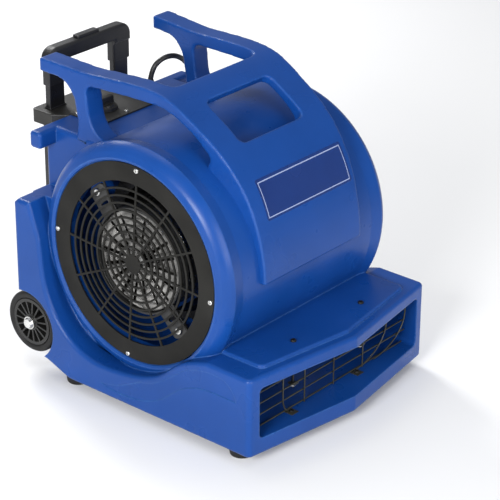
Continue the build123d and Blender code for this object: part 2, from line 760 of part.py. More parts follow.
# ---------------------------------------------------------------- cord gland
gland_top = 408
with BuildPart() as cord_gland:
    with BuildSketch(Plane.XZ):
        with BuildLine():
            Polyline((0, platform_z - 8), (8, platform_z - 8), (8, panel_top), (11, panel_top),
                     (11, panel_top + 3.5), (9, panel_top + 4.5), (7.4, panel_top + 5),
                     (5.4, gland_top), (0, gland_top), (0, platform_z - 8))
        make_face()
    revolve(axis=Axis.Z)
cord_gland.part = cord_gland.part.moved(Location((*gland_spot, 0)))
save(cord_gland, "cord_gland")

with BuildPart() as gland_locknut:
    with BuildSketch(Plane.XY.offset(platform_z)):
        with Locations(gland_spot):
            RegularPolygon(12.5, 6)
            Circle(8, mode=Mode.SUBTRACT)
    extrude(amount=-4)
save(gland_locknut, "gland_locknut")

# ---------------------------------------------------------------- telescoping handle
leg_spots = [(-leg_x, leg_y), (leg_x, leg_y)]
outer_z0, outer_z1 = 60, 384
mid_z0, mid_z1 = 70, 388
inner_z0, inner_z1 = 75, 445
slide_gap = 0.4
leg_wall = 1.2


def tube_pair(width, depth, wall, z0, z1):
    """Two rectangular tubes, one for each leg of the handle."""
    with BuildPart() as tubes:
        with BuildSketch(Plane.XY.offset(z0)):
            with Locations(*leg_spots):
                RectangleRounded(width, depth, 2.5)
                RectangleRounded(width - 2 * wall, depth - 2 * wall, 1.2, mode=Mode.SUBTRACT)
        extrude(amount=z1 - z0)
    return tubes


outer_tubes = tube_pair(outer_w, outer_d, outer_wall, outer_z0, outer_z1)
save(outer_tubes, "outer_tubes")
mid_tubes = tube_pair(mid_w, mid_d, mid_wall, mid_z0, mid_z1)
save(mid_tubes, "mid_tubes")
inner_legs = tube_pair(leg_w, leg_d, leg_wall, inner_z0, inner_z1)
save(inner_legs, "inner_legs")

for name, z0, z1, hole_z in (("upper_handle_bracket", bracket_z0, bracket_z1, 375),
                             ("lower_handle_bracket", lower_bracket_z0, lower_bracket_z1, 104)):
    with BuildPart() as bracket:
        with BuildSketch(Plane.XY.offset(z0)):
            Polygon((-bracket_half_width, bracket_rear_y), (bracket_half_width, bracket_rear_y),
                    (bracket_half_width, 238), (bracket_half_width - 16, body_rear),
                    (-bracket_half_width + 16, body_rear), (-bracket_half_width, 238), align=None)
        extrude(amount=z1 - z0)
        fillet(bracket.edges().filter_by(Axis.Z).group_by(Axis.Y)[-1], 6)
        fillet(bracket.faces().filter_by(Axis.Z).edges(), 1.5)
        with BuildSketch(Plane.XY.offset(z0)):
            with Locations(*leg_spots):
                RectangleRounded(outer_w, outer_d, 2.5)
        extrude(amount=min(z1, outer_z1) - z0, mode=Mode.SUBTRACT)
        with BuildSketch(Plane.XY.offset(z0)):
            with Locations(*leg_spots):
                RectangleRounded(mid_w + 2 * slide_gap, mid_d + 2 * slide_gap, 2.5)
        extrude(amount=z1 - z0, mode=Mode.SUBTRACT)
        with BuildSketch(Plane.XZ.offset(-body_rear)):
            with Locations((-40, hole_z), (40, hole_z)):
                Circle(bracket_screw_r)
        extrude(amount=-80, mode=Mode.SUBTRACT)
        with BuildSketch(Plane.XZ.offset(-body_rear - 12)):
            with Locations((-40, hole_z), (40, hole_z)):
                Circle(5)
        extrude(amount=-80, mode=Mode.SUBTRACT)
    save(bracket, name)

with BuildPart() as bracket_screws:
    with Locations(*[facing(x, body_rear + 12, z, (0, 1, 0)) for x, z in bracket_screw_spots]):
        add(pan_screw(4, 2.8, bracket_screw_r, 18))
save(bracket_screws, "bracket_screws")

# Grip with its two sleeves and the slot for the release button.
grip_half_width = 90
grip_z0, grip_bar_z, grip_top = 425, 460, 484
grip_d, sleeve_d = 22, 16
sleeve_inner_x = grip_half_width - 37
channel_z0, channel_z1 = 462.6, 471.4
button_half, button_d, button_top = 23.5, 14, 488.5
with BuildPart() as handle_grip:
    with BuildSketch(Plane.XZ.offset(-leg_y)) as grip_bar:
        Polygon((-grip_half_width, grip_bar_z - 6), (grip_half_width, grip_bar_z - 6),
                (grip_half_width, grip_top), (-grip_half_width, grip_top), align=None)
        fillet(grip_bar.vertices().group_by(Axis.Y)[-1], 19)
        with BuildSketch(Plane.XZ.offset(-leg_y), mode=Mode.SUBTRACT):
            Polygon((-sleeve_inner_x, grip_bar_z - 10), (sleeve_inner_x, grip_bar_z - 10),
                    (sleeve_inner_x, grip_bar_z), (-sleeve_inner_x, grip_bar_z), align=None)
    extrude(amount=grip_d / 2, both=True)
    fillet(handle_grip.edges().filter_by(lambda e: abs(abs(e.center().Y - leg_y) - 11) < 0.1), 5)
    with BuildSketch(Plane.XY.offset(grip_z0)):
        with Locations(*leg_spots):
            RectangleRounded(37, sleeve_d, 3.5)
    extrude(amount=grip_bar_z + 4 - grip_z0)
    with BuildSketch(Plane.XY.offset(grip_z0)):
        with Locations(*leg_spots):
            RectangleRounded(leg_w, leg_d, 2.5)
    extrude(amount=inner_z1 - grip_z0, mode=Mode.SUBTRACT)
    with BuildSketch(Plane.XY.offset(inner_z1)):
        with Locations(*leg_spots):
            Circle(3.2)
    extrude(amount=channel_z1 - inner_z1, mode=Mode.SUBTRACT)
    with BuildSketch(Plane.XY.offset(channel_z0)):
        with Locations((0, leg_y)):
            RectangleRounded(150, 8, 3.5)
    extrude(amount=channel_z1 - channel_z0, mode=Mode.SUBTRACT)
    with BuildSketch(Plane.XY.offset(channel_z1 - 1)):
        with Locations((0, leg_y)):
            RectangleRounded(2 * button_half + 0.8, button_d + 0.8, 3)
    extrude(amount=40, mode=Mode.SUBTRACT)
save(handle_grip, "handle_grip")

link_z0, link_z1 = 467, 471
with BuildPart() as release_button:
    with BuildSketch(Plane.XY.offset(link_z1 + 4.5)):
        with Locations((0, leg_y)):
            RectangleRounded(2 * button_half, button_d, 3)
    extrude(amount=button_top - link_z1 - 4.5)
    fillet(release_button.faces().sort_by(Axis.Z)[-1].edges(), 2)
    with BuildSketch(Plane.XY.offset(link_z1)):
        with Locations((0, leg_y)):
            Rectangle(12, 6)
    extrude(amount=5)
save(release_button, "release_button")

with BuildPart() as release_link:
    with BuildSketch(Plane.XY.offset(link_z0)):
        with Locations((0, leg_y)):
            RectangleRounded(147, 5, 2.4)
    extrude(amount=link_z1 - link_z0)
    with BuildSketch(Plane.XY.offset(inner_z0 + 15)):
        with Locations(*leg_spots):
            Circle(2.4)
    extrude(amount=link_z0 - inner_z0 - 14)
save(release_link, "release_link")

# ---------------------------------------------------------------- transport wheels
hub_face_r = 13
tyre_r0 = 38
rib_count = 15
with BuildPart() as axle:
    with BuildSketch(axle_plane(0)):
        Circle(axle_r)
    extrude(amount=204, both=True)
save(axle, "axle")

for side, name in ((-1, "left"), (1, "right")):
    with BuildPart() as wheel:
        with BuildSketch(axle_plane(side * (wheel_x0 + 2))):
            Circle(tyre_r0)
            Circle(tyre_r0 - 5, mode=Mode.SUBTRACT)
            for k in range(rib_count):
                with Locations((22 * cos(2 * pi * k / rib_count), 22 * sin(2 * pi * k / rib_count))):
                    Rectangle(26, 2.6, rotation=360 * k / rib_count)
            Circle(hub_face_r)
        extrude(amount=side * (wheel_x1 - wheel_x0 - 3))
        with BuildSketch(axle_plane(side * (wheel_x0 + 14))):
            Circle(tyre_r0)
        extrude(amount=side * 3)
        with BuildSketch(axle_plane(side * wheel_x0)):
            Circle(hub_face_r)
        extrude(amount=side * (wheel_x1 - wheel_x0))
        with BuildSketch(axle_plane(side * (wheel_x0 - 1))):
            Circle(axle_r + 0.06)
        extrude(amount=side * 50, mode=Mode.SUBTRACT)
    save(wheel, name + "_wheel")

    with BuildPart() as tyre:
        with BuildSketch(axle_section) as tyre_section:
            with Locations((side * (wheel_x0 + wheel_x1) / 2, (tyre_r0 + wheel_r) / 2)):
                RectangleRounded(wheel_x1 - wheel_x0, wheel_r - tyre_r0, 5)
            with Locations((side * (wheel_x0 + wheel_x1) / 2, tyre_r0 + 3)):
                Rectangle(wheel_x1 - wheel_x0 - 6, 6)
        revolve(axis=AXLE_AXIS)
    save(tyre, name + "_tyre")

with BuildPart() as axle_spacers:
    for side in (-1, 1):
        with BuildSketch(axle_plane(side * (wheel_x0 - 6))):
            Circle(axle_r + 4)
            Circle(axle_r, mode=Mode.SUBTRACT)
        extrude(amount=side * 5.5)
save(axle_spacers, "axle_spacers")

with BuildPart() as axle_caps:
    for side in (-1, 1):
        with BuildSketch(axle_plane(side * (wheel_x1 + 0.5))):
            Circle(10.5)
        extrude(amount=side * 4)
        with BuildSketch(axle_plane(side * (wheel_x1 + 4.5))):
            Circle(9)
        extrude(amount=side * 4, taper=25)
        with BuildSketch(axle_plane(side * (wheel_x1 + 0.5))):
            Circle(axle_r)
        extrude(amount=side * 4.5, mode=Mode.SUBTRACT)
save(axle_caps, "axle_caps")

# ---------------------------------------------------------------- feet
foot_screw = pan_screw(5.4, 3, foot_screw_r, 26)
with BuildPart() as foot:
    with BuildSketch(Plane.XY):
        Circle(18)
    extrude(amount=body_bottom, taper=-8)
    fillet(foot.edges().sort_by(Axis.Z)[0], 2)
    with BuildSketch(Plane.XY):
        Circle(7)
    extrude(amount=9, mode=Mode.SUBTRACT)
    with BuildSketch(Plane.XY):
        Circle(foot_screw_r)
    extrude(amount=body_bottom, mode=Mode.SUBTRACT)

with BuildPart() as rubber_feet:
    with Locations(*foot_spots):
        add(foot.part)
save(rubber_feet, "rubber_feet")

with BuildPart() as foot_screws:
    with Locations(*[facing(x, y, 9, (0, 0, -1)) for x, y in foot_spots]):
        add(foot_screw)
save(foot_screws, "foot_screws")

# ---------------------------------------------------------------- power cord
# From the gland over the platform, down behind the body and along the floor to the coil.
cord_r = cord_d / 2
coil_centre = (60, 380)
coil_layers, coil_rings = 4, 5
coil_inner_r = 39.6         # centre line of the innermost turns
coil_outer_r = coil_inner_r + (coil_rings - 1) * cord_d
cord_route = [(65, 185, 408), (68, 183.5, 427), (83, 177, 441), (104, 171, 442), (124, 171, 431),
              (144, 178, 414), (165, 189, 397), (185, 205, 372), (193, 223, 337), (193, 237, 293),
              (186, 248, 240), (175, 258, 182), (163, 267, 125), (152, 276, 72), (144, 292, 30),
              (136, 325, cord_r), (coil_centre[0] + coil_outer_r, 352, cord_r)]
coil_top = (coil_layers - 0.5) * cord_d
tail_route = [(coil_centre[0] - coil_outer_r, 352, coil_top), (-14.5, 334, 22.5), (-16.5, 318, 14.5),
              (-18, 300, 12)]


def bend_radii(route):
    """Radius of the arc at each inner point of a route, as large as its two runs allow."""
    radii = []
    for before, here, after in zip(route, route[1:], route[2:]):
        run_in, run_out = Vector(*here) - Vector(*before), Vector(*after) - Vector(*here)
        half_turn = radians(run_in.get_angle(run_out)) / 2
        radii.append(0.45 * min(run_in.length, run_out.length) / tan(half_turn))
    return radii


def cord_tube(route):
    """Straight runs of cord joined by tangent arcs."""
    with BuildPart() as tube:
        with BuildLine() as path:
            FilletPolyline(*route, radius=bend_radii(route))
        with BuildSketch(Plane(origin=path.line @ 0, z_dir=path.line % 0)):
            Circle(cord_r)
        sweep(path=path.line)
    length = sum(edge.length for edge in path.edges())
    print("radii", [round(r) for r in bend_radii(route)], "length", round(length, 1),
          "volume / (section x length)",
          round(tube.part.volume / (pi * cord_r ** 2 * length), 4))
    return tube


power_cord = cord_tube(cord_route)
save(power_cord, "power_cord")
cord_tail = cord_tube(tail_route)
save(cord_tail, "cord_tail")

with BuildPart() as cord_coil:
    with BuildSketch(Plane.XZ):
        with Locations(((coil_inner_r + coil_outer_r) / 2, coil_layers * cord_d / 2)):
            RectangleRounded(coil_rings * cord_d, coil_layers * cord_d, cord_r)
    revolve(axis=Axis.Z)
cord_coil.part = cord_coil.part.moved(Location((*coil_centre, 0)))
save(cord_coil, "cord_coil")

# Three-pin plug at the end of the cord, lying on the floor.
plug_x, plug_y = -18, 300
plug_z = 12
with BuildPart() as power_plug:
    with BuildSketch(Plane(origin=(plug_x, plug_y, plug_z), x_dir=(1, 0, 0), z_dir=(0, -1, 0))):
        Circle(5.2)
    extrude(amount=14, taper=-12)
    with BuildSketch(Plane(origin=(plug_x, plug_y - 14, plug_z + 1), x_dir=(1, 0, 0),
                           z_dir=(0, -1, 0))):
        RectangleRounded(28, 25, 7)
    extrude(amount=22)
save(power_plug, "power_plug")

with BuildPart() as plug_blades:
    with BuildSketch(Plane(origin=(plug_x, plug_y - 36, plug_z + 1), x_dir=(1, 0, 0),
                           z_dir=(0, -1, 0))):
        with Locations((-6.35, 3), (6.35, 3)):
            Rectangle(1.5, 6.4)
        with Locations((0, -6)):
            Circle(2.4)
    extrude(amount=17)
save(plug_blades, "plug_blades")
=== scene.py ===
"""Looks of the portable air mover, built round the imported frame. Metres, in the row frame."""
import json
from math import cos, pi, radians, sin

import bpy
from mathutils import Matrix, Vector
from mathutils.bvhtree import BVHTree


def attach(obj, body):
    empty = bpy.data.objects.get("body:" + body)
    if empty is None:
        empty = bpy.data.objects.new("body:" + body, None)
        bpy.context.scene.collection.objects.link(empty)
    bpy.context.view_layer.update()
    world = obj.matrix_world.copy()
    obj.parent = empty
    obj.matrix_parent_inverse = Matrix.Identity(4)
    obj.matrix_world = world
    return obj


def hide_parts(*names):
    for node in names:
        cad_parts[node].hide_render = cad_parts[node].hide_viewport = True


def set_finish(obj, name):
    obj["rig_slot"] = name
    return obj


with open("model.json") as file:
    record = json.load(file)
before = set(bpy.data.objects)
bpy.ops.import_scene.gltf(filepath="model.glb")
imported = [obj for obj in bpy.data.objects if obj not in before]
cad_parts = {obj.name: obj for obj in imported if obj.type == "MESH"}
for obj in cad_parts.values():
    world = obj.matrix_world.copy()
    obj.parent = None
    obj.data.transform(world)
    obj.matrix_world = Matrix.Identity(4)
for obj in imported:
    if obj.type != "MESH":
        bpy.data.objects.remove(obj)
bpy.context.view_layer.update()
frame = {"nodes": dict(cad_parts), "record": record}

collection = bpy.context.scene.collection
slot_of = {row["node"]: row["material_slot"] for row in frame["record"]["subparts"]}


def aim(thing, place, target):
    """Puts a camera or a light into the scene at a place, looking at a target."""
    thing.location = place
    thing.rotation_euler = (Vector(target) - thing.location).to_track_quat("-Z", "Y").to_euler()
    collection.objects.link(thing)


# ---------------------------------------------------------------- camera
CAMERA_PLACE = (-2.1587, -1.8913, 1.5725)
CAMERA_TARGET = (0, -0.0236, 0.2286)
LENS_MM, SENSOR_MM = 149.7, 36
CAMERA_SHIFT = (0.0516, -0.031)


def add_camera():
    """Camera at the viewing angle of a person standing at the front left of the machine."""
    camera = bpy.data.objects.new("camera", bpy.data.cameras.new("camera"))
    camera.data.lens = LENS_MM
    camera.data.sensor_width = SENSOR_MM
    camera.data.shift_x, camera.data.shift_y = CAMERA_SHIFT
    camera.data.clip_end = 50
    aim(camera, CAMERA_PLACE, CAMERA_TARGET)
    bpy.context.scene.camera = camera


# ---------------------------------------------------------------- power cord
CORD_R = 0.00425
CORD_ROUTE = [      # from the gland, down behind the body, to the coil on the floor
    (0.065, 0.185, 0.408), (0.068, 0.1835, 0.427), (0.083, 0.177, 0.441), (0.104, 0.171, 0.442),
    (0.124, 0.171, 0.431), (0.144, 0.178, 0.414), (0.165, 0.189, 0.397), (0.185, 0.205, 0.372),
    (0.193, 0.223, 0.337), (0.193, 0.237, 0.293), (0.186, 0.248, 0.240), (0.175, 0.258, 0.182),
    (0.163, 0.267, 0.125), (0.152, 0.276, 0.072), (0.144, 0.292, 0.030), (0.136, 0.325, CORD_R),
    (0.1336, 0.352, CORD_R),
]
TAIL_ROUTE = [      # from the top of the coil to the plug
    (-0.0136, 0.352, 0.02975), (-0.0145, 0.334, 0.0225), (-0.0165, 0.318, 0.0145), (-0.0180, 0.300, 0.012),
]
COIL_CENTRE = (0.060, 0.380)
COIL_INNER_R = 0.0396
COIL_RINGS, COIL_LAYERS = 5, 4
POINTS_PER_TURN = 16


def coil_points():
    """Control points of the stored coil, ring beside ring in layers; the last ring is half a turn.
    They stand a little outside each ring, because the spline passes inside its control points."""
    pitch = 2 * CORD_R
    rings = list(range(COIL_RINGS))
    turns = []
    for layer in range(COIL_LAYERS):
        order = rings[::-1] if layer % 2 == 0 else rings
        turns += [(COIL_INNER_R + ring * pitch, CORD_R + layer * pitch) for ring in order]
    points = []
    for i in range(POINTS_PER_TURN * len(turns) - POINTS_PER_TURN // 2 + 1):
        radius, height = turns[i // POINTS_PER_TURN]
        turn = 2 * pi * i / POINTS_PER_TURN
        out = radius / cos(pi / POINTS_PER_TURN)
        points.append((COIL_CENTRE[0] + out * cos(turn), COIL_CENTRE[1] + out * sin(turn), height))
    return points


def add_cord():
    """The mains cord as one curve, from the gland to the plug."""
    points = CORD_ROUTE + coil_points() + TAIL_ROUTE
    curve = bpy.data.curves.new("mains_cord", "CURVE")
    curve.dimensions = "3D"
    curve.bevel_depth = 1      # each point's own radius carries the thickness
    curve.bevel_resolution = 5
    curve.resolution_u = 6
    curve.use_fill_caps = True
    spline = curve.splines.new("NURBS")
    spline.points.add(len(points) - 1)
    for point, place in zip(spline.points, points):
        point.co = (*place, 1)
        point.radius = CORD_R
    spline.order_u = 3
    spline.use_endpoint_u = True
    cord = bpy.data.objects.new("mains_cord", curve)
    collection.objects.link(cord)
    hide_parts("power_cord", "cord_coil", "cord_tail")
    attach(cord, "base")
    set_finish(cord, "cord_rubber")
    return cord


# ---------------------------------------------------------------- soft-edged carry hood
DRUM_Y, DRUM_Z, DRUM_R = -0.009, 0.243, 0.180
DRUM_FIT = 0.0008              # how near the drum a vertex of the hood counts as lying on it
PLATFORM_FRONT_Y, PLATFORM_Z = 0.06, 0.388
PLATFORM_FIT = 0.0005
SINK = 0.006                   # how far the hood's seats go into the housing
HOOD_VOXEL = 0.0017
HOOD_SMOOTHING = 9


def apply_modifiers(piece):
    """Turns a piece's modifiers into its mesh, shaded smooth."""
    bpy.context.view_layer.update()
    graph = bpy.context.evaluated_depsgraph_get()
    mesh = bpy.data.meshes.new_from_object(piece.evaluated_get(graph))
    piece.modifiers.clear()
    piece.data = mesh
    mesh.shade_smooth()


def add_hood():
    """The carry hood with the rounded edges of a rotational moulding. Its seats are first sunk into the
    drum and the platform, so that the rounding leaves no gap there."""
    mesh = frame["nodes"]["carry_hood"].data.copy()
    hood = bpy.data.objects.new("moulded_carry_hood", mesh)
    collection.objects.link(hood)
    for vertex in mesh.vertices:
        arm = Vector((0, vertex.co.y - DRUM_Y, vertex.co.z - DRUM_Z))
        if abs(arm.length - DRUM_R) < DRUM_FIT:
            vertex.co -= arm.normalized() * SINK
        elif vertex.co.y > PLATFORM_FRONT_Y and abs(vertex.co.z - PLATFORM_Z) < PLATFORM_FIT:
            vertex.co.z -= SINK
    remesh = hood.modifiers.new("remesh", "REMESH")
    remesh.mode = "VOXEL"
    remesh.voxel_size = HOOD_VOXEL
    soften = hood.modifiers.new("soften", "SMOOTH")
    soften.factor = 0.5
    soften.iterations = HOOD_SMOOTHING
    apply_modifiers(hood)
    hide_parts("carry_hood")
    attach(hood, "base")
    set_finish(hood, "blue_moulding")
    return hood


# ---------------------------------------------------------------- blank name label
LABEL_CENTRE = (0.0085, 0.357)         # x and z
LABEL_HALF = (0.0965, 0.0275)
LABEL_CORNER = 0.003
CORNER_TURNS = (90, 75, 55, 30)        # degrees round each corner's arc, from the label's edge inwards
LABEL_LIFT = 0.0005
LABEL_ROWS, LABEL_COLUMNS = 26, 96
IN_FRONT_Y = -0.4
LINE_INSET, LINE_WIDTH = 0.0038, 0.0014


def label_heights(flat):
    """Heights of the grid's rows about the label's middle, closer together at the rounded corners."""
    rounded = [flat + LABEL_CORNER * sin(radians(turn)) for turn in CORNER_TURNS]
    straight = [-flat + 2 * flat * i / LABEL_ROWS for i in range(LABEL_ROWS + 1)]
    return [-height for height in rounded] + straight + rounded[::-1]


def label_points(hood):
    """A grid of points on the hood's moulded front, lifted clear of it, and its number of rows."""
    tree = BVHTree.FromPolygons([vertex.co[:] for vertex in hood.data.vertices],
                                [face.vertices[:] for face in hood.data.polygons])
    half_x, half_z = LABEL_HALF
    flat = half_z - LABEL_CORNER
    heights = label_heights(flat)
    points = []
    for height in heights:
        past = max(abs(height) - flat, 0)
        reach = half_x - LABEL_CORNER + (LABEL_CORNER ** 2 - past ** 2) ** 0.5
        for i in range(LABEL_COLUMNS + 1):
            x = LABEL_CENTRE[0] + reach * (2 * i / LABEL_COLUMNS - 1)
            start = Vector((x, IN_FRONT_Y, LABEL_CENTRE[1] + height))
            place, normal = tree.ray_cast(start, Vector((0, 1, 0)))[:2]
            points.append(place + normal * LABEL_LIFT)
    return points, len(heights)


def grid_rim(rows, wide):
    """Indices round the outside of a grid of points, row by row, each row a given number wide."""
    rim = list(range(wide))
    rim += [row * wide + wide - 1 for row in range(1, rows)]
    rim += [(rows - 1) * wide + i for i in range(wide - 2, -1, -1)]
    rim += [row * wide for row in range(rows - 2, 0, -1)]
    return rim


def add_label(hood):
    """The blank name label, a film that follows the moulded front of the hood, with its cut edge."""
    points, rows = label_points(hood)
    wide = LABEL_COLUMNS + 1
    faces = [(row * wide + i, row * wide + i + 1, (row + 1) * wide + i + 1, (row + 1) * wide + i)
             for row in range(rows - 1) for i in range(LABEL_COLUMNS)]
    rim = grid_rim(rows, wide)
    first = len(points)
    points += [points[i] + Vector((0, 2 * LABEL_LIFT, 0)) for i in rim]
    for i in range(len(rim)):
        after = (i + 1) % len(rim)
        faces.append((rim[after], rim[i], first + i, first + after))
    mesh = bpy.data.meshes.new("printed_film")
    mesh.from_pydata(points, [], faces)
    mesh.shade_smooth()
    mesh.set_sharp_from_angle(angle=radians(50))
    label = bpy.data.objects.new("printed_film", mesh)
    collection.objects.link(label)
    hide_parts("name_label")
    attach(label, "base")
    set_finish(label, "label_film")
    return label


# ---------------------------------------------------------------- shader nodes
MIX_COLOUR_INPUTS, MIX_COLOUR_OUTPUT = (6, 7), 2     # a mix node has one set of sockets for each data type


def new_material(name):
    """A node material that holds only its shader and its output: the material and the shader."""
    material = bpy.data.materials.new(name)
    material.use_nodes = True
    tree = material.node_tree
    tree.nodes.clear()
    shader = tree.nodes.new("ShaderNodeBsdfPrincipled")
    output = tree.nodes.new("ShaderNodeOutputMaterial")
    tree.links.new(shader.outputs["BSDF"], output.inputs["Surface"])
    return material, shader


def feed(tree, socket, value):
    """Links a socket to another one, or sets it to a plain value."""
    if isinstance(value, bpy.types.NodeSocket):
        tree.links.new(value, socket)
    else:
        socket.default_value = value


def noise(tree, place, scale, detail, rough=0.55):
    """A noise texture in the row frame, scale in cycles per metre."""
    texture = tree.nodes.new("ShaderNodeTexNoise")
    texture.inputs["Scale"].default_value = scale
    texture.inputs["Detail"].default_value = detail
    texture.inputs["Roughness"].default_value = rough
    tree.links.new(place, texture.inputs["Vector"])
    return texture.outputs["Fac"]


def remap(tree, value, source, target):
    """Clamped linear change from one range to another, each a pair of numbers."""
    node = tree.nodes.new("ShaderNodeMapRange")
    node.inputs["From Min"].default_value, node.inputs["From Max"].default_value = source
    node.inputs["To Min"].default_value, node.inputs["To Max"].default_value = target
    tree.links.new(value, node.inputs["Value"])
    return node.outputs["Result"]


def mix(tree, factor, first, second):
    """Mixes two colours; each is four numbers or a socket."""
    node = tree.nodes.new("ShaderNodeMix")
    node.data_type = "RGBA"
    tree.links.new(factor, node.inputs["Factor"])
    for index, colour in zip(MIX_COLOUR_INPUTS, (first, second)):
        feed(tree, node.inputs[index], colour)
    return node.outputs[MIX_COLOUR_OUTPUT]


def maths(tree, operation, *values):
    """A math node; each value is a number or a socket."""
    node = tree.nodes.new("ShaderNodeMath")
    node.operation = operation
    for socket, value in zip(node.inputs, values):
        feed(tree, socket, value)
    return node.outputs[0]


def edge_wear_and_highlight(tree, coords, bevel):
    """Mask of the lighter edge tone, partly wear and partly painted highlight: 0 on flat faces, rising to
    0.75 along rounded edges, unevenly.
    """
    geometry = tree.nodes.new("ShaderNodeNewGeometry")
    facing = tree.nodes.new("ShaderNodeVectorMath")
    facing.operation = "DOT_PRODUCT"
    tree.links.new(bevel.outputs["Normal"], facing.inputs[0])
    tree.links.new(geometry.outputs["Normal"], facing.inputs[1])
    wear_and_highlight = remap(tree, facing.outputs["Value"], (0.995, 0.86), (0, 0.75))
    uneven = remap(tree, noise(tree, coords, 60, 3.0), (0.3, 0.7), (0.35, 1))
    return maths(tree, "MULTIPLY", wear_and_highlight, uneven)


def border_line(tree, coords):
    """1 on the printed line that runs round the name label, 0 elsewhere."""
    split = tree.nodes.new("ShaderNodeSeparateXYZ")
    tree.links.new(coords, split.inputs[0])
    to_edge = []
    for axis, centre, half in zip("XZ", LABEL_CENTRE, LABEL_HALF):
        off_centre = maths(tree, "ABSOLUTE", maths(tree, "SUBTRACT", split.outputs[axis], centre))
        to_edge.append(maths(tree, "SUBTRACT", half, off_centre))
    nearest = maths(tree, "MINIMUM", *to_edge)
    return maths(tree, "COMPARE", nearest, LINE_INSET, LINE_WIDTH / 2)


# ---------------------------------------------------------------- materials
SMUDGE_SCALE = 22
BEVEL_SAMPLES = 4


def surface(name, dark, light, rough, grain, bump, edge=None, edge_r=0.0012, metallic=0.0,
            patch=9.0, stretch=(1, 1, 1), rough_spread=0.08, specular=0.5, border=None):
    """General hard surface. Two tones in soft patches, fine grain in the bump, soft smudges in the
    roughness, rounded edges with an optional lighter tone that is partly wear and partly painted
    highlight, and an optional printed border.
    grain and patch are in cycles per metre, bump and edge_r in metres, colours are linear."""
    material, shader = new_material(name)
    tree = material.node_tree
    coords = tree.nodes.new("ShaderNodeTexCoord").outputs["Object"]
    mapping = tree.nodes.new("ShaderNodeMapping")
    mapping.inputs["Scale"].default_value = stretch
    tree.links.new(coords, mapping.inputs["Vector"])
    bevel = tree.nodes.new("ShaderNodeBevel")
    bevel.samples = BEVEL_SAMPLES
    bevel.inputs["Radius"].default_value = edge_r

    patches = remap(tree, noise(tree, coords, patch, 4.0), (0.35, 0.68), (0, 1))
    colour = mix(tree, patches, (*dark, 1), (*light, 1))
    if edge is not None:
        # lighter tone along the rounded edges: partly wear, partly painted highlight
        colour = mix(tree, edge_wear_and_highlight(tree, coords, bevel), colour, (*edge, 1))
    if border is not None:
        colour = mix(tree, border_line(tree, coords), colour, (*border, 1))
    tree.links.new(colour, shader.inputs["Base Color"])

    smudge = noise(tree, coords, SMUDGE_SCALE, 1.5, 0.5)
    roughness = remap(tree, smudge, (0.3, 0.72), (rough - rough_spread, rough + rough_spread))
    tree.links.new(roughness, shader.inputs["Roughness"])

    relief = tree.nodes.new("ShaderNodeBump")
    relief.inputs["Strength"].default_value = 1.0
    relief.inputs["Distance"].default_value = bump
    tree.links.new(noise(tree, mapping.outputs["Vector"], grain, 2.0), relief.inputs["Height"])
    tree.links.new(bevel.outputs["Normal"], relief.inputs["Normal"])
    tree.links.new(relief.outputs["Normal"], shader.inputs["Normal"])
    shader.inputs["Metallic"].default_value = metallic
    shader.inputs["Specular IOR Level"].default_value = specular
    return material


def moulding_materials():
    """The blue housing and hood, and the film on the hood."""
    # each edge colour is a lighter tone along rounded edges, partly wear and partly painted highlight
    return {
        "blue_moulding": surface(
            "blue_rotomoulded_plastic", dark=(0.004, 0.046, 0.222), light=(0.006, 0.057, 0.272),
            rough=0.33, grain=320, bump=0.00006, edge=(0.055, 0.17, 0.48), edge_r=0.0035, patch=5,
            specular=0.27),
        "label_film": surface(
            "blank_label_film", dark=(0.004, 0.024, 0.135), light=(0.005, 0.030, 0.160),
            rough=0.24, grain=900, bump=0.00002, edge_r=0.0004, rough_spread=0.04,
            border=(0.30, 0.36, 0.55)),
    }


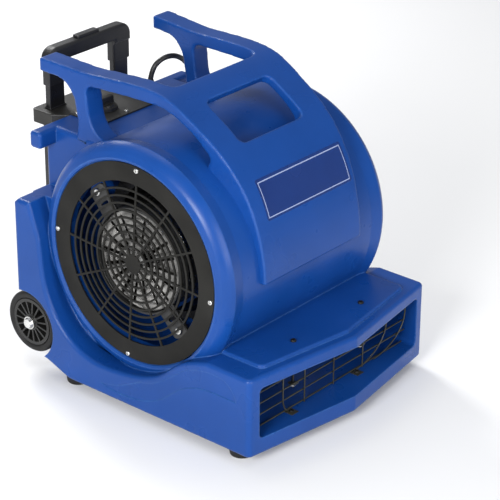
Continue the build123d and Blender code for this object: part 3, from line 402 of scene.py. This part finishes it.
def metal_materials():
    """Screws, shafts, motor, capacitor, metal brackets, wires, handle tubes and the plug's blades."""
    # each edge colour is a lighter tone along rounded edges, partly wear and partly painted highlight
    return {
        "bright_screw_steel": surface(
            "bright_zinc", dark=(0.62, 0.62, 0.60), light=(0.80, 0.80, 0.78),
            rough=0.24, grain=1200, bump=0.00003, edge_r=0.0003, metallic=1.0, patch=60,
            rough_spread=0.07),
        "black_screw_steel": surface(
            "black_oxide_steel", dark=(0.012, 0.012, 0.012), light=(0.03, 0.03, 0.03),
            rough=0.4, grain=1200, bump=0.00003, edge_r=0.0004, metallic=0.6, patch=60),
        "machined_steel": surface(
            "turned_steel", dark=(0.42, 0.42, 0.41), light=(0.62, 0.62, 0.60),
            rough=0.3, grain=600, bump=0.00003, edge_r=0.0005, metallic=1.0, patch=30,
            stretch=(6, 1, 1)),
        "motor_aluminium": surface(
            "cast_aluminium", dark=(0.18, 0.177, 0.17), light=(0.45, 0.44, 0.42),
            rough=0.26, grain=420, bump=0.00008, edge=(0.62, 0.61, 0.59), edge_r=0.001,
            metallic=1.0, patch=40, rough_spread=0.1),
        "lamination_steel": surface(
            "laminated_steel", dark=(0.12, 0.11, 0.10), light=(0.2, 0.19, 0.18),
            rough=0.45, grain=1, bump=0.0002, edge_r=0.0005, metallic=0.8, patch=30,
            stretch=(2400, 1, 1)),
        "black_bracket_steel": surface(
            "black_powder_coat", dark=(0.018, 0.018, 0.018), light=(0.035, 0.035, 0.035),
            rough=0.42, grain=2200, bump=0.00008, edge=(0.14, 0.14, 0.14), edge_r=0.0008),
        "capacitor_film": surface(
            "grey_capacitor_can", dark=(0.45, 0.45, 0.43), light=(0.6, 0.6, 0.58),
            rough=0.4, grain=700, bump=0.00004, edge_r=0.0005),
        "black_wire": surface(
            "coated_wire", dark=(0.022, 0.022, 0.016), light=(0.045, 0.045, 0.034),
            rough=0.38, grain=1400, bump=0.00006, edge_r=0.0003, patch=30),
        "black_tube_steel": surface(
            "satin_enamel_tube", dark=(0.006, 0.006, 0.007), light=(0.012, 0.012, 0.013),
            rough=0.34, grain=500, bump=0.00003, edge=(0.11, 0.11, 0.115), edge_r=0.0009,
            stretch=(6, 6, 1)),
        "plug_brass": surface(
            "bright_brass", dark=(0.68, 0.50, 0.22), light=(0.82, 0.63, 0.30),
            rough=0.24, grain=900, bump=0.00002, edge_r=0.0002, metallic=1.0, patch=60),
    }


def plastic_materials():
    """Grilles, blower, control panel, switch, knob, gland, handle brackets, grip and wheels."""
    # each edge colour is a lighter tone along rounded edges, partly wear and partly painted highlight
    return {
        "black_grille_plastic": surface(
            "grey_grille_plastic", dark=(0.011, 0.0107, 0.0095), light=(0.018, 0.0175, 0.0155),
            rough=0.50, grain=1500, bump=0.00010, edge=(0.05, 0.05, 0.046), edge_r=0.0007,
            patch=14, specular=0.12),
        "blower_plastic": surface(
            "black_blower_plastic", dark=(0.008, 0.008, 0.009), light=(0.018, 0.018, 0.02),
            rough=0.5, grain=900, bump=0.0001, edge_r=0.0005),
        "panel_plastic": surface(
            "panel_sheet", dark=(0.012, 0.0117, 0.0105), light=(0.020, 0.0195, 0.017),
            rough=0.46, grain=2400, bump=0.00009, edge=(0.15, 0.15, 0.14), edge_r=0.0006),
        "switch_plastic": surface(
            "switch_moulding", dark=(0.02, 0.02, 0.02), light=(0.035, 0.035, 0.035),
            rough=0.45, grain=900, bump=0.00006, edge_r=0.0005),
        "knob_plastic": surface(
            "knob_moulding", dark=(0.016, 0.016, 0.015), light=(0.032, 0.031, 0.029),
            rough=0.3, grain=900, bump=0.00004, edge=(0.12, 0.12, 0.11), edge_r=0.0008),
        "gland_nylon": surface(
            "black_nylon", dark=(0.012, 0.012, 0.012), light=(0.026, 0.026, 0.026),
            rough=0.45, grain=900, bump=0.00006, edge_r=0.0006),
        "bracket_plastic": surface(
            "bracket_moulding", dark=(0.012, 0.0115, 0.010), light=(0.020, 0.019, 0.0165),
            rough=0.48, grain=1700, bump=0.00011, edge=(0.15, 0.15, 0.14), edge_r=0.0012),
        "grip_plastic": surface(
            "grip_moulding", dark=(0.007, 0.007, 0.008), light=(0.013, 0.013, 0.015),
            rough=0.42, grain=1900, bump=0.00013, edge=(0.10, 0.10, 0.11), edge_r=0.0009),
        "wheel_plastic": surface(
            "wheel_moulding", dark=(0.009, 0.009, 0.0085), light=(0.016, 0.016, 0.015),
            rough=0.46, grain=1200, bump=0.00008, edge=(0.08, 0.08, 0.075), edge_r=0.0006),
    }


def rubber_materials():
    """Tyres, feet and the cord's jacket."""
    return {
        "tyre_rubber": surface(
            "tyre_rubber", dark=(0.006, 0.006, 0.006), light=(0.012, 0.012, 0.0115),
            rough=0.62, grain=1100, bump=0.00018, edge_r=0.0008, patch=26, specular=0.35),
        "foot_rubber": surface(
            "foot_rubber", dark=(0.006, 0.006, 0.006), light=(0.012, 0.012, 0.0115),
            rough=0.6, grain=1100, bump=0.00014, edge_r=0.0008, specular=0.35),
        "cord_rubber": surface(
            "cord_jacket", dark=(0.008, 0.008, 0.008), light=(0.02, 0.02, 0.02),
            rough=0.36, grain=1000, bump=0.00008, edge_r=0.0004, patch=30),
    }


def dress(pieces):
    """Gives every CAD node and every added piece the material of its slot."""
    materials = {**moulding_materials(), **metal_materials(), **plastic_materials(), **rubber_materials()}
    for name, node in frame["nodes"].items():
        for material_slot in node.material_slots:
            material_slot.material = materials[slot_of[name]]
    for piece in pieces:
        piece.data.materials.clear()
        piece.data.materials.append(materials[piece["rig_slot"]])


# ---------------------------------------------------------------- stage and light
FLOOR_REACH = 9
LIGHT_TARGET = (0, 0, 0.25)
RIM_TARGET = (0, 0, 0.35)


def add_stage():
    """A wide pale floor."""
    mesh = bpy.data.meshes.new("studio_floor")
    corners = [(-1, -1), (1, -1), (1, 1), (-1, 1)]
    mesh.from_pydata([(FLOOR_REACH * x, FLOOR_REACH * y, 0) for x, y in corners], [], [(0, 1, 2, 3)])
    floor = bpy.data.objects.new("studio_floor", mesh)
    collection.objects.link(floor)
    material, shader = new_material("pale_floor")
    shader.inputs["Base Color"].default_value = (0.93, 0.93, 0.93, 1)
    shader.inputs["Roughness"].default_value = 0.75
    mesh.materials.append(material)


def add_light(name, place, target, size, power):
    """A square soft box aimed at a point, its power in watts."""
    light = bpy.data.objects.new(name, bpy.data.lights.new(name, "AREA"))
    light.data.size = size
    light.data.energy = power
    aim(light, place, target)


def add_world():
    """Even, slightly cool surroundings."""
    world = bpy.data.worlds.new("studio")
    bpy.context.scene.world = world
    world.use_nodes = True
    background = world.node_tree.nodes["Background"]
    background.inputs["Color"].default_value = (0.93, 0.95, 1.0, 1)
    background.inputs["Strength"].default_value = 0.34


add_camera()
cord = add_cord()
hood = add_hood()
label = add_label(hood)
dress([cord, hood, label])
add_stage()
add_world()
add_light("key_light", (-3.0, -0.9, 1.5), LIGHT_TARGET, size=1.2, power=105)
add_light("front_light", (-0.6, -3.2, 1.2), LIGHT_TARGET, size=1.6, power=60)
add_light("top_light", (0.3, 0.9, 2.9), LIGHT_TARGET, size=1.4, power=15)
add_light("rim_light", (0.9, 2.6, 1.9), RIM_TARGET, size=1.0, power=60)
bpy.context.scene.view_settings.view_transform = "Standard"

bpy.context.view_layer.update()
